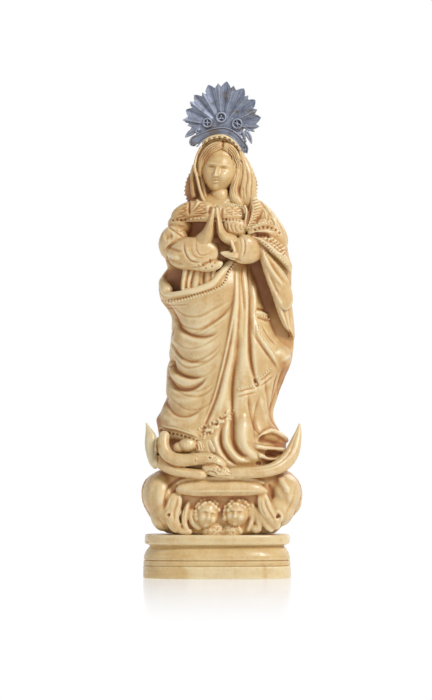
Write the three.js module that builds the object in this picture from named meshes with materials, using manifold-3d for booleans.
// A carved ivory statuette: a praying lady, crowned with a silver halo, stands on a serpent and a
// crescent moon above a cloud with two cherub heads. The cloud rests on an oval moulded base, and the
// moon's horn on the viewer's left is a separate piece of ivory, butted on with a straight joint.
//
// Millimetres, +Z up, the viewer looks along +Y. The origin is the middle of the base's underside.

import * as THREE from 'three';
import { mergeVertices } from 'three/addons/utils/BufferGeometryUtils.js';
import Module from 'manifold-3d';

const wasm = await Module();
wasm.setup();

// Driving sizes
const BASE_LENGTH = 74;
const BASE_DEPTH = 50;
const BASE_HEIGHT = 22;
const CLEARANCE = 0.3;
const CLOUD_FOOT = BASE_HEIGHT + CLEARANCE;
const CLOUD_TOP = 56;
const SHOULDER = 192;
const CROWN_OF_HEAD = 222.5;
const HORN_JOINT_X = -29.8;
const HORN_JOINT_Z = 54.6;
const HALO_CENTRE = [2.5, 225.7];
const HALO_RADIUS = 22;
const HALO_THICKNESS = 1;
const HALO_Y = 2.2;
const FINENESS = 0.3;

// Finishes
const IVORY = { color: 0xdcbd87, roughness: 0.38, metalness: 0 };
const SILVER = { color: 0x848a9b, roughness: 0.45, metalness: 0.85 };

// General shapes

const mix = (a, b, t) => a + (b - a) * t;
const smooth = (t) => t * t * (3 - 2 * t);
const clamp = (t, low, high) => Math.min(high, Math.max(low, t));
const signedPower = (value, power) => Math.sign(value) * Math.abs(value) ** power;

// The smooth values of a table between its rows. The first column rises from row to row.
function along(table, at) {
  const last = table.length - 1;
  const place = clamp(at, table[0][0], table[last][0]);
  let row = 0;
  while (row < last - 1 && table[row + 1][0] < place) row++;
  const [from, to] = [table[row], table[row + 1]];
  const before = table[Math.max(row - 1, 0)];
  const after = table[Math.min(row + 2, last)];
  const span = to[0] - from[0];
  const t = (place - from[0]) / span;
  return from.slice(1).map((start, index) => {
    const end = to[index + 1];
    const slopeIn = ((end - before[index + 1]) / (to[0] - before[0])) * span;
    const slopeOut = ((after[index + 1] - start) / (after[0] - from[0])) * span;
    return (
      (2 * t ** 3 - 3 * t ** 2 + 1) * start +
      (t ** 3 - 2 * t ** 2 + t) * slopeIn +
      (3 * t ** 2 - 2 * t ** 3) * end +
      (t ** 3 - t ** 2) * slopeOut
    );
  });
}

// A closed skin over rows of rings, with a fan over the first ring and over the last.
function closedSkin(rows, columns, pointAt) {
  const positions = [];
  for (let row = 0; row <= rows; row++) {
    for (let column = 0; column < columns; column++) {
      positions.push(...pointAt(row / rows, column / columns));
    }
  }
  const middleOf = (row) => {
    const sum = [0, 0, 0];
    for (let column = 0; column < columns; column++) {
      for (let axis = 0; axis < 3; axis++) {
        sum[axis] += positions[(row * columns + column) * 3 + axis] / columns;
      }
    }
    return sum;
  };
  const first = positions.length / 3;
  positions.push(...middleOf(0), ...middleOf(rows));
  const faces = [];
  for (let column = 0; column < columns; column++) {
    const next = (column + 1) % columns;
    faces.push(first, next, column);
    faces.push(first + 1, rows * columns + column, rows * columns + next);
    for (let row = 0; row < rows; row++) {
      const [a, b] = [row * columns + column, row * columns + next];
      faces.push(a, b, b + columns, a, b + columns, a + columns);
    }
  }
  const geometry = new THREE.BufferGeometry();
  geometry.setAttribute('position', new THREE.Float32BufferAttribute(positions, 3));
  geometry.setIndex(faces);
  return geometry;
}

// Carved folds, drawn as lines on the unrolled surface

const UNROLLED_RADIUS = 26;
const LINE_STEPS = 14;
const FRONT_CROWDING = 0.35;

// The angle round the body, 0 at the front, of a place seen from the front. Past the outline it goes on
// round the back at a steady pace.
function angleOf(x, [left, right]) {
  const t = (x - (left + right) / 2) / ((right - left) / 2);
  if (Math.abs(t) <= 1) return Math.asin(t);
  return Math.sign(t) * (Math.PI / 2) * Math.abs(t);
}

// A fold along a smooth line through [x, z] points: width and lift in millimetres. Lean makes one flank
// wide and the other narrow. A negative lift is a furrow.
function fold(points, width, lift, lean = 0) {
  return { points, width, lift, lean };
}

function unroll(folds, stations) {
  return folds.map((each) => {
    const curve = new THREE.CatmullRomCurve3(
      each.points.map(([x, z]) => {
        const angle = angleOf(x, along(stations, z));
        return new THREE.Vector3(UNROLLED_RADIUS * angle, z, 0);
      }),
    );
    return { ...each, line: curve.getPoints(LINE_STEPS) };
  });
}

// The lift of all folds together at a place on the unrolled surface.
function reliefAt(folds, across, height) {
  let sum = 0;
  for (const each of folds) {
    let nearest = Infinity;
    let side = 0;
    let run = 0;
    for (let step = 0; step < each.line.length - 1; step++) {
      const [a, b] = [each.line[step], each.line[step + 1]];
      const [dx, dz] = [b.x - a.x, b.y - a.y];
      const t = clamp(((across - a.x) * dx + (height - a.y) * dz) / (dx * dx + dz * dz), 0, 1);
      const [ox, oz] = [across - a.x - dx * t, height - a.y - dz * t];
      const distance = Math.hypot(ox, oz);
      if (distance < nearest) {
        nearest = distance;
        side = Math.sign(dx * oz - dz * ox);
        run = (step + t) / (each.line.length - 1);
      }
    }
    const flank = each.width * (1 + each.lean * side);
    const fade = smooth(clamp(Math.min(run, 1 - run) * 5 + 0.15, 0, 1));
    sum += each.lift * fade * Math.exp(-((nearest / flank) ** 2));
  }
  return sum;
}

// An upright body. Each station is [height, left, right, front, back], and a section is a superellipse
// whose front and back halves have their own depth. Folds push its surface in or out. Its columns stand
// closer together in front than at the back.
function uprightBody(stations, { rows, columns, roundness = 1, folds = [], low, high }) {
  const unrolled = unroll(folds, stations);
  const [bottom, top] = [low ?? stations[0][0], high ?? stations.at(-1)[0]];
  return closedSkin(rows, columns, (v, u) => {
    const z = mix(bottom, top, v);
    const [left, right, front, back] = along(stations, z);
    const turn = (u - 0.5) * 2 * Math.PI;
    const angle = turn - FRONT_CROWDING * Math.sin(turn);
    const [sine, cosine] = [Math.sin(angle), Math.cos(angle)];
    const depth = cosine > 0 ? front : back;
    const lift = reliefAt(unrolled, UNROLLED_RADIUS * angle, z);
    const half = (right - left) / 2;
    return [
      (left + right) / 2 + half * signedPower(sine, roundness) + lift * sine,
      -depth * signedPower(cosine, roundness) - lift * cosine,
      z,
    ];
  });
}

// A bar along a smooth path of [x, y, z] points, with an elliptical section that changes along it. Each
// size is [share of the path, radius seen from the front, radius in depth].
function bar(path, sizes, { rows = 14, columns = 10, closedPath = false } = {}) {
  const curve = new THREE.CatmullRomCurve3(
    path.map((point) => new THREE.Vector3(...point)),
    closedPath,
    'centripetal',
  );
  const depthwards = new THREE.Vector3(0, 1, 0);
  return closedSkin(rows, columns, (v, u) => {
    const place = curve.getPointAt(v);
    const ahead = curve.getTangentAt(v);
    const side = new THREE.Vector3().crossVectors(depthwards, ahead).normalize();
    const back = new THREE.Vector3().crossVectors(ahead, side);
    const [seen, deep] = along(sizes, v);
    const angle = u * 2 * Math.PI;
    place.addScaledVector(side, seen * Math.cos(angle));
    place.addScaledVector(back, deep * Math.sin(angle));
    return place.toArray();
  });
}

// An even bar with both ends rounded off.
const evenBar = (path, seen, deep, detail) =>
  bar(path, [[0, seen * 0.2, deep * 0.2], [0.12, seen, deep], [0.88, seen, deep],
    [1, seen * 0.2, deep * 0.2]], detail);

function ball([x, y, z], [width, depth, height], columns = 12, tilt = 0) {
  const geometry = new THREE.SphereGeometry(1, columns, Math.ceil(columns * 0.75));
  geometry.rotateX(Math.PI / 2);
  geometry.scale(width, depth, height);
  geometry.rotateY(tilt);
  return geometry.translate(x, y, z);
}

// Joining and cutting

function solidOf(geometry) {
  const bare = geometry.clone();
  bare.deleteAttribute('normal');
  bare.deleteAttribute('uv');
  const merged = mergeVertices(bare, 1e-4);
  return new wasm.Manifold(
    new wasm.Mesh({
      numProp: 3,
      vertProperties: merged.attributes.position.array,
      triVerts: new Uint32Array(merged.index.array),
    }),
  );
}

function geometryOf(solid) {
  const { numProp, vertProperties, triVerts } = solid.getMesh();
  const geometry = new THREE.BufferGeometry();
  const positions = new Float32Array((vertProperties.length / numProp) * 3);
  for (let index = 0; index < positions.length / 3; index++) {
    positions.set(vertProperties.subarray(index * numProp, index * numProp + 3), index * 3);
  }
  geometry.setAttribute('position', new THREE.BufferAttribute(positions, 3));
  geometry.setIndex(new THREE.BufferAttribute(triVerts, 1));
  geometry.computeVertexNormals();
  return geometry;
}

const joined = (geometries) =>
  geometries.map(solidOf).reduce((whole, piece) => whole.add(piece));

// One closed body without specks or sealed pockets, and without triangles that add nothing to its form.
function settled(solid) {
  const lean = solid.asOriginal().simplify(FINENESS);
  return lean.decompose().reduce((large, other) => (other.volume() > large.volume() ? other : large));
}

// A box from its lowest to its highest corner.
function block([x0, y0, z0], [x1, y1, z1]) {
  const geometry = new THREE.BoxGeometry(x1 - x0, y1 - y0, z1 - z0);
  return geometry.translate((x0 + x1) / 2, (y0 + y1) / 2, (z0 + z1) / 2);
}

// The oval base: a plinth, a fillet, an ovolo, a hollow and a thin top slab

function mouldedBase() {
  // [height, how far the section stands in from the plinth]
  const profile = [
    [0, 0.4], [0.4, 0], [6.6, 0.1], [6.9, 0.8], [9.2, 0.9], [9.8, 0.5], [11.6, 0.6], [13.6, 1.4],
    [15.3, 2.4], [16, 3], [17.2, 1.5], [18.2, 0.8], [21.6, 0.6], [BASE_HEIGHT, 1],
  ];
  const chip = { angle: -1.45, width: 0.12, depth: 1.1, low: 17, high: 21 };
  return closedSkin(profile.length - 1, 32, (v, u) => {
    const [z, inset] = profile[Math.round(v * (profile.length - 1))];
    const angle = (u - 0.5) * 2 * Math.PI;
    const chipped = z > chip.low && z < chip.high;
    const bite = chipped ? chip.depth * Math.exp(-(((angle - chip.angle) / chip.width) ** 2)) : 0;
    return [
      (BASE_LENGTH / 2 - inset - bite) * signedPower(Math.sin(angle), 0.72),
      -(BASE_DEPTH / 2 - inset) * signedPower(Math.cos(angle), 0.72),
      z,
    ];
  });
}

// The cloud: a swelling block with a niche in front, a bolster over the niche, scrolls and two heads

const CLOUD_STATIONS = [
  [CLOUD_FOOT, -26.6, 28, 18, 16],
  [27, -30.6, 33.6, 20.5, 18.5],
  [33.5, -35.5, 41, 23, 21],
  [41, -38, 42.4, 24, 22.5],
  [46, -37.5, 42, 24, 22],
  [51, -35, 39.4, 22.5, 20],
  [CLOUD_TOP, -30.4, 37, 19.5, 17],
];

function cloud() {
  const niche = 5.5;
  const folds = [
    fold([[-7, 26], [-7, 38]], 6, -niche),
    fold([[5, 25], [5, 38]], 6, -niche),
    fold([[15, 27], [14, 38]], 5, -niche),
    fold([[-28, 54], [-19.5, 50], [-21, 40], [-26, 33]], 1.8, -2.2),
    fold([[27, 52], [31, 44], [29, 36]], 2, -2),
    fold([[36, 51], [37, 44], [34, 34]], 2.6, 1.2),
    fold([[-33, 50], [-34, 40], [-28, 30]], 3, 0.9),
    fold([[-50, 50], [-48, 40], [-46, 30]], 3, -1.6),
    fold([[58, 50], [56, 40], [52, 30]], 3, -1.6),
    fold([[70, 50], [72, 40], [70, 30]], 3, -1.6),
  ];
  const scrolls = [
    evenBar([[-19, -21.5, 46], [-20.5, -21, 42], [-22, -20.5, 37], [-24.5, -18.5, 33],
      [-22, -19.5, 31]], 3, 2.6, { rows: 12, columns: 8 }),
    evenBar([[25, -21, 46], [27, -20.5, 41], [28.5, -19.5, 36], [31, -17.5, 32],
      [29, -18.5, 30]], 3, 2.6, { rows: 12, columns: 8 }),
  ];
  const bolster = bar(
    [[-20.6, -20.5, 43.5], [-15, -23, 45.6], [2.5, -24.2, 46], [20, -23.2, 45.6],
      [25.8, -20.5, 43.2]],
    [[0, 0.5, 1], [0.12, 3, 3.4], [0.5, 3.6, 3.8], [0.88, 3, 3.4], [1, 0.5, 1]],
    { rows: 12, columns: 10 },
  );
  const leaves = [
    [[-14.5, -16.5, 39], [-17, -18.5, 34], [-16, -18.5, 28], [-12.5, -18, 24]],
    [[17.5, -16.5, 39], [19.5, -18.5, 33], [22, -18.5, 28], [26.5, -16.5, 24.5]],
    [[17.5, -15.5, 36], [17, -18, 31], [15, -18.5, 26], [13.5, -18, 24]],
  ].map((path) => evenBar(path, 1.3, 2, { rows: 8, columns: 6 }));
  const heads = [
    ball([-6.5, -16.8, 32], [5.6, 5.6, 7.4], 10, 0.1),
    ball([8.4, -16.8, 33.2], [6.2, 5.6, 6.6], 10, -0.35),
  ];
  const collars = [[-4, 25.2, 5.5], [9, 25, 5], [-13, 24.6, 3.5], [19, 24.4, 4]].map(
    ([x, z, size]) => ball([x, -15.5, z], [size, 4.2, 2.4], 6),
  );
  const body = uprightBody(CLOUD_STATIONS, { rows: 10, columns: 36, roundness: 0.82, folds });
  return [body, bolster, ...scrolls, ...leaves, ...heads, ...collars];
}

// The crescent moon: one bar from horn to horn, thick under the feet

const MOON_PATH = [
  [-35.2, -5, 77.6], [-35, -7, 72], [-33.6, -9.5, 65], [-30.6, -13, 58.5], [-23, -17.5, 54.8],
  [-8, -21, 53.2], [5, -21.6, 53], [20, -19.5, 54.4], [31.5, -14.5, 57], [37.4, -10, 62.5],
  [40.2, -7, 70], [41.3, -5, 77.4],
];

function moon(grow = 0) {
  const sizes = [
    [0, 0.25, 0.3], [0.05, 1.3, 1.4], [0.12, 2.3, 2.6], [0.22, 2.9, 3.6], [0.35, 2.7, 4],
    [0.5, 2.4, 4], [0.65, 2.7, 4], [0.78, 3.6, 3.8], [0.88, 3, 2.8], [0.95, 1.5, 1.5],
    [1, 0.25, 0.3],
  ].map(([share, seen, deep]) => [share, seen + grow, deep + grow]);
  return bar(MOON_PATH, sizes, { rows: 24, columns: 8 });
}

// The serpent under the feet, with its head over the moon's middle, and the shoe that treads on it

function serpent() {
  return [
    bar(
      [[-25.5, -12, 72], [-27, -16, 67], [-25.5, -19.5, 61.5], [-20, -22, 59], [-12, -22.6, 58.6],
        [-5.5, -22.4, 60.4], [-1, -23.4, 58.6], [2.5, -24.6, 55], [7, -25.2, 52.8]],
      [[0, 1.5, 1.6], [0.1, 2.5, 2.4], [0.5, 2.6, 2.6], [0.72, 2.9, 2.6], [0.86, 3.3, 2.6],
        [0.95, 2.2, 2], [1, 0.8, 1]],
      { rows: 14, columns: 7 },
    ),
    evenBar([[-14, -12, 68], [-17.5, -18.5, 66.4], [-20.5, -20.5, 65]], 3, 3.4,
      { rows: 6, columns: 8 }),
  ];
}

// The robe and the mantle wrapped round it, from the pool at the feet to the shoulders

const ROBE_STATIONS = [
  [50, -27, 32, 18, 16],
  [58, -29.5, 34, 20.5, 17.5],
  [66, -30.2, 34.5, 21.5, 18],
  [70, -30, 33, 21.5, 18],
  [75, -30.4, 29.8, 20.8, 17.6],
  [79, -31, 28.4, 20.4, 17.4],
  [83, -28, 28.4, 20, 17.2],
  [88, -26.6, 29.8, 19.6, 17],
  [94, -25.6, 31.8, 19.6, 17],
  [105.5, -25.6, 36.6, 19.8, 17],
  [114, -24.2, 38.4, 19.8, 17],
  [123.5, -22.8, 38.8, 19.8, 17.2],
  [130.5, -23, 38, 19.8, 17.4],
  [137, -27.8, 37.6, 19.6, 17.4],
  [142, -28.6, 37.5, 19, 17.2],
  [147, -28, 37, 18, 17],
  [151, -24, 37.2, 16.6, 16.6],
  [155, -21, 37.4, 15.6, 16.2],
  [162.5, -20.5, 35.4, 14, 15.4],
  [169, -21, 34.6, 13, 15],
  [175.5, -21.5, 30, 12.4, 14.4],
  [181.5, -20.4, 25.3, 11.6, 13.4],
  [186.5, -16.6, 21.6, 9.8, 12],
  [190, -11, 16.5, 7.6, 10],
  [SHOULDER, -6, 10, 5.5, 7.5],
];

function robe() {
  const mantleEdge = [[9.4, 157], [9, 147], [7.3, 127.5], [3.9, 110], [-1.9, 89], [-8.3, 72]];
  const folds = [
    // The mantle's edge against the robe, and the pleats of the robe
    fold(mantleEdge, 1.9, -2.4, -0.3),
    fold([[7, 150], [5, 128], [1, 110], [-5, 89], [-11, 75]], 2.6, 1.3),
    fold([[10.8, 120], [9.4, 104], [7.6, 92], [7, 80]], 2, -2.6),
    fold([[13, 156], [13, 140], [12.4, 122]], 1.4, -1.2),
    fold([[15.9, 156], [16.8, 144], [16.3, 128], [17, 110], [20.5, 95]], 1.9, -3.2),
    fold([[13.5, 120], [12.5, 100], [13, 84], [14, 68]], 2.6, 1.5),
    fold([[19.5, 90], [18.4, 76], [19, 66]], 2, -2.4),
    // The deep opening between the robe and the hanging side of the mantle
    fold([[19, 157], [24, 144.6], [27.8, 134], [31, 127], [35, 119]], 3, -6),
    fold([[20, 130], [21, 118], [24.5, 112.5], [30, 106]], 1.7, -2.4),
    fold([[22, 140], [26, 125], [30, 112]], 2.4, 1.6),
    fold([[33, 108], [30, 92], [28, 80]], 2, -1.8),
    fold([[24, 100], [25, 88], [24, 76]], 2.4, 1),
    // Hanging folds across the leg, from the left outline round to the mantle's edge
    fold([[-23, 133], [-20, 124], [-16, 121], [-10, 120.5], [-1, 124], [7, 136]], 2, -2),
    fold([[-28, 116], [-20.7, 112], [-16.5, 109], [-10, 108.5], [-2, 111], [3, 117]], 2.2, -1.9),
    fold([[-30, 110], [-22, 105.5], [-18, 101.5], [-13, 99.8], [-6, 101]], 1.8, -2.6),
    fold([[-30, 98], [-23, 96], [-19.5, 93.6], [-13, 93], [-5, 97]], 1.8, -2),
    fold([[-30, 87], [-24, 83], [-19, 81], [-13, 82], [-7, 87.6], [-2, 98]], 1.9, -1.8),
    fold([[-24, 118], [-18, 115], [-8, 114.5], [0, 118]], 2.2, 1.1),
    fold([[-24, 101], [-18, 97.5], [-10, 96.6], [-2, 101]], 1.8, 1),
    fold([[-29, 77], [-20, 75.4], [-15, 74], [-9, 71.5]], 1.7, 1.5),
    // The hollow between the sleeve and the mantle's rolled edge
    fold([[-23, 150], [-16, 148.5], [-8, 149], [0, 154]], 3.6, -5.5),
    // The folds that sweep over the moon
    fold([[5.6, 79], [5.8, 69], [9.6, 62.5], [15, 60]], 1.8, -2.6),
    fold([[-4.3, 75], [-3.7, 66], [2.3, 60.8], [6, 57]], 1.8, 1.3),
    fold([[-9, 74], [-8, 66], [-3, 60]], 1.7, -2),
    fold([[-26, 70], [-18, 69], [-10, 68]], 3.4, -3.4),
    // The mantle's hanging side
    fold([[15, 171], [23, 167.5], [27.5, 162], [32, 156], [36, 150]], 1.8, -2),
    fold([[20, 166], [26.7, 154.3], [33, 145]], 1.8, 1.6),
    fold([[30, 140], [35.5, 144], [46, 147]], 1.5, 0.9),
    // The back
    fold([[-34, 180], [-38, 150], [-36, 110], [-34, 70]], 3.4, -2.2),
    fold([[-48, 185], [-50, 150], [-48, 110], [-46, 70]], 3.4, -2.6),
    fold([[64, 184], [66, 150], [60, 110], [54, 70]], 3.4, -2.6),
    fold([[52, 184], [54, 150], [50, 110], [46, 70]], 3.2, -2.2),
    fold([[42, 170], [45, 145], [42, 115], [39, 85]], 2.8, -1.6),
  ];
  const body = uprightBody(ROBE_STATIONS, { rows: 44, columns: 42, roundness: 0.92, folds });
  const rolledEdge = bar(
    [[-16, 12, 150], [-23.6, 5, 149], [-26.6, -3, 145.5], [-24.6, -11, 141.5], [-18, -16.5, 140.6],
      [-9, -19.6, 142.3], [-2, -21, 146.5], [4, -20.8, 153], [8.5, -19, 159]],
    [[0, 1.2, 1.4], [0.15, 3, 2], [0.5, 3.4, 2.4], [0.85, 3, 2.4], [1, 1.2, 1.2]],
    { rows: 16, columns: 8 },
  );
  const hemTubes = [
    [[17, -17, 69.5], [24, -18, 68.8], [31.5, -13, 67]],
    [[17.5, -19, 65], [25, -19, 63.2], [32, -14, 62.4]],
    [[14, -20.5, 61], [21, -20.8, 59.2], [29, -16.5, 59.6]],
  ].map((path) => evenBar(path, 2.1, 3, { rows: 8, columns: 8 }));
  return [body, rolledEdge, ...hemTubes];
}

// The arms in wide sleeves, the mantle gathered over one of them, and the joined hands

function armsAndHands() {
  const nearSleeve = bar(
    [[-12.6, -1, 181], [-17.4, -4.5, 175], [-21.4, -9, 167], [-21, -13, 160.6], [-12, -17, 161],
      [-3, -20.5, 164]],
    [[0, 4, 4], [0.2, 6.4, 6.4], [0.42, 8, 7.4], [0.6, 8.2, 7], [0.85, 7.4, 5.6], [1, 5.4, 4]],
    { rows: 12, columns: 12 },
  );
  const farSleeve = bar(
    [[14, -1, 180], [21, -5, 174.5], [26.2, -9, 167.5], [23, -13.5, 163], [15, -17, 164.5],
      [7, -20, 166.4]],
    [[0, 4, 4], [0.2, 7, 7], [0.42, 8, 7.8], [0.6, 8, 7.2], [0.86, 7.4, 6], [1, 6.4, 4.4]],
    { rows: 12, columns: 12 },
  );
  const gather = [
    [[13.5, -19, 172], [20, -20, 174], [26, -17, 173], [31, -9.5, 168.6]],
    [[13.5, -19.5, 171], [21.5, -20.6, 169.8], [28, -17.6, 166.4], [33.4, -10, 161]],
  ].map((path) => evenBar(path, 1.9, 2.4, { rows: 10, columns: 8 }));
  const collarRoll = evenBar(
    [[12, -2, 192.5], [16.4, -6.5, 189.5], [19.4, -11, 183.5], [18, -15.4, 177], [13.8, -18, 171.8]],
    2.1, 2.4, { rows: 12, columns: 8 });
  const handSizes = [[0, 2.6, 3.4], [0.35, 2.9, 3.6], [0.6, 2.1, 3.2], [0.85, 1.3, 2.4], [1, 0.6, 1]];
  const hands = [
    [[-8, -19.5, 166.5], [-4.8, -22, 170.5], [-2.7, -23.4, 177.5], [-0.9, -23.8, 185.3]],
    [[8, -19.5, 165.5], [4.6, -22, 169.5], [2, -23.4, 177], [0.2, -23.8, 185.3]],
  ].map((path) => bar(path, handSizes, { rows: 10, columns: 8 }));
  return [nearSleeve, farSleeve, ...gather, collarRoll, ...hands];
}

// The veil over the crown of the head and down to the shoulders

const VEIL_STATIONS = [
  [186, -15, 18.5, 3, 13],
  [190, -16, 19, 4, 13],
  [195, -17, 20.8, 4.4, 13],
  [201, -15, 19.4, 5, 12.6],
  [208, -12.4, 15.8, 5.6, 12],
  [214, -11, 13.4, 6.6, 10.6],
  [218, -8, 10.6, 6.6, 8.6],
  [221, -3.6, 7.4, 4.6, 5.8],
  [CROWN_OF_HEAD, 0.4, 3.8, 1.6, 2],
];

function veil(grow = 0) {
  const stations = VEIL_STATIONS.map(([z, left, right, front, back]) => [
    z + grow, left - grow, right + grow, front + grow, back + grow,
  ]);
  const folds = [
    fold([[12, 208], [15, 200], [15, 190]], 1.6, 1.2),
    fold([[9.5, 206], [11, 198], [10, 190]], 1.5, -1.4),
    fold([[30, 214], [34, 200], [34, 188]], 2.6, -1.2),
    fold([[-26, 214], [-32, 200], [-32, 188]], 2.6, -1.2),
  ];
  return uprightBody(stations, { rows: 12, columns: 26, folds });
}

// The cape over the shoulders, the neck and the head

function headAndCape() {
  const cape = uprightBody(
    [
      [178.4, -22.6, 21, 15, 14.4],
      [180, -22.8, 21, 15.4, 14.6],
      [184, -19.6, 20, 14, 13.6],
      [188, -14.6, 17, 11.6, 12],
      [191, -9.6, 12, 8.8, 9.6],
      [193.5, -5, 6.5, 5.5, 6.5],
    ],
    { rows: 6, columns: 26 },
  );
  const neck = evenBar([[0.6, -1.5, 186], [0.8, -2.6, 192], [1.2, -3.2, 198]], 4.7, 4.7,
    { rows: 5, columns: 12 });
  const head = ball([1.2, -3.8, 204.4], [7.6, 9, 11.6], 16, 0.1);
  const nose = evenBar([[0.9, -12, 207], [0.5, -13.2, 203.6], [0.4, -12, 201.8]], 0.9, 1.2,
    { rows: 6, columns: 6 });
  const strips = [
    evenBar([[-6.6, -5, 213], [-8.8, -5.6, 206], [-8.8, -6.8, 198], [-7.4, -8.6, 190.5]], 1.2, 3.4,
      { rows: 8, columns: 7 }),
    evenBar([[10.4, -4.4, 212], [11.6, -7, 203], [8.6, -9, 195.5], [8.4, -10.6, 189.5]], 2.5, 2.4,
      { rows: 10, columns: 8 }),
  ];
  return [cape, neck, head, nose, veil(), ...strips];
}

// The silver halo: a fluted shell fan behind a curved band, with three rosettes

const HALO_RAYS = 7;
const HALO_ROOT = 5;
const HALO_START = 0;
const HALO_END = 2.97;

// The fan's toothed rim: a broad tooth in the middle of each ray and a slim one between two rays. The
// rays are longer at the top than at the sides.
function haloReach(share) {
  const within = (share * HALO_RAYS) % 1;
  const broad = 1 - Math.abs(within - 0.5) * 2;
  const slim = Math.max(0, 1 - Math.min(within, 1 - within) * 6);
  const rise = 0.09 * Math.sin(share * Math.PI);
  return HALO_RADIUS * (0.8 + rise + 0.11 * broad + 0.11 * slim);
}

function haloFan() {
  const steps = HALO_RAYS * 6;
  return closedSkin(2, 2 * (steps + 1), (v, u) => {
    const place = Math.round(u * 2 * (steps + 1));
    const front = place <= steps;
    const share = (front ? place : 2 * steps + 1 - place) / steps;
    const angle = mix(HALO_END, HALO_START, share);
    const radius = mix(HALO_ROOT, haloReach(share), v);
    const flute = 0.5 * v * Math.cos(share * HALO_RAYS * 2 * Math.PI);
    return [
      HALO_CENTRE[0] + radius * Math.cos(angle),
      HALO_Y - flute + (front ? -HALO_THICKNESS / 2 : HALO_THICKNESS / 2),
      HALO_CENTRE[1] + radius * Math.sin(angle),
    ];
  });
}

// A round plate that faces the viewer.
function disc(x, z, radius, thickness, sides) {
  const plate = new THREE.CylinderGeometry(radius, radius, thickness, sides);
  return plate.rotateX(Math.PI / 2).translate(x, HALO_Y, z);
}

// The band rises over the crown of the head and ends in a rounded lobe at each side.
function haloBand() {
  const y = HALO_Y - 0.6;
  return bar(
    [[-12.4, y, 214.8], [-11.2, y, 218.4], [-7.4, y, 221.2], [-3, y, 222.9], [2.8, y, 223.5],
      [8, y, 222], [11.6, y, 218.6], [13.6, y, 213]],
    [[0, 1, 0.7], [0.08, 2.2, 1.2], [0.5, 1.6, 1.3], [0.92, 2, 1.2], [1, 1, 0.7]],
    { rows: 14, columns: 8 },
  );
}

// Four pointed leaves fill the corners between the fan and the band's ends.
function haloLeaves() {
  return [
    [[-7.6, 227], [-14.8, 226.6]],
    [[-10.6, 225], [-16, 220.8]],
    [[12.8, 225.6], [18.4, 223.2]],
    [[14, 222.6], [17.4, 217.4]],
  ].map(([[x0, z0], [x1, z1]]) =>
    bar([[x0, HALO_Y, z0], [(x0 + x1) / 2, HALO_Y, (z0 + z1) / 2], [x1, HALO_Y, z1]],
      [[0, 1, 0.6], [0.5, 2, 0.6], [1, 0.2, 0.3]], { rows: 4, columns: 6 }));
}

// A flat plate fills the room between the fan's root and the band.
function haloPlate() {
  const corners = [[-9.7, 215.7], [-6.7, 218.5], [-2.7, 221.4], [3.4, 221.8], [6.5, 221.1], [9.4, 218.5],
    [12, 214], [15, 215], [15.4, 220], [14.6, 224.6], [11.4, 227], [8.8, 231.6], [2.5, 233.6],
    [-3.8, 231.6], [-6, 227.6], [-10, 225.4], [-12.6, 222.4], [-13, 218]];
  const outline = new THREE.Shape(corners.map(([x, z]) => new THREE.Vector2(x, z)));
  const plate = new THREE.ExtrudeGeometry(outline, { depth: 1.2, bevelEnabled: false });
  return plate.rotateX(Math.PI / 2).translate(0, HALO_Y + 0.6, 0);
}

function halo() {
  const rosettes = [[-4.8, 227.7, 2.7], [2.1, 230.4, 2.9], [10.1, 227.2, 3]].map(
    ([across, height, size]) => disc(across, height, size, 3.6, 10));
  return [haloFan(), haloPlate(), haloBand(), ...haloLeaves(), ...rosettes];
}

// Assembly

const statuette = new THREE.Group();

// Each mesh has its own origin at a place that matters on the piece, and stands there by its position.
function addPiece(name, solid, finish, place) {
  const geometry = geometryOf(solid).translate(...place.map((value) => -value));
  const mesh = new THREE.Mesh(geometry, new THREE.MeshStandardMaterial(finish));
  mesh.name = name;
  mesh.position.set(...place);
  statuette.add(mesh);
}

const hornSide = solidOf(block([-50, -30, HORN_JOINT_Z], [HORN_JOINT_X, 30, 90]));
const hornRoom = solidOf(
  block([-50, -30, HORN_JOINT_Z - CLEARANCE], [HORN_JOINT_X + CLEARANCE, 30, 90]));
const underside = solidOf(block([-60, -40, 0], [60, 40, CLOUD_FOOT]));
const horn = solidOf(moon()).intersect(hornSide);
const carving = joined([...cloud(), ...serpent(), ...robe(), ...armsAndHands(), ...headAndCape()])
  .add(solidOf(moon()).subtract(hornRoom))
  .subtract(solidOf(moon(CLEARANCE)).intersect(hornRoom))
  .subtract(underside);
const crown = joined(halo()).subtract(solidOf(veil(CLEARANCE)));

addPiece('moulded_base', solidOf(mouldedBase()), IVORY, [0, 0, 0]);
addPiece('carved_figure', settled(carving), IVORY, [0, 0, CLOUD_FOOT]);
addPiece('moon_horn', horn, IVORY, [HORN_JOINT_X, 0, HORN_JOINT_Z]);
addPiece('silver_halo', settled(crown), SILVER, [HALO_CENTRE[0], HALO_Y, HALO_CENTRE[1]]);

export default statuette;
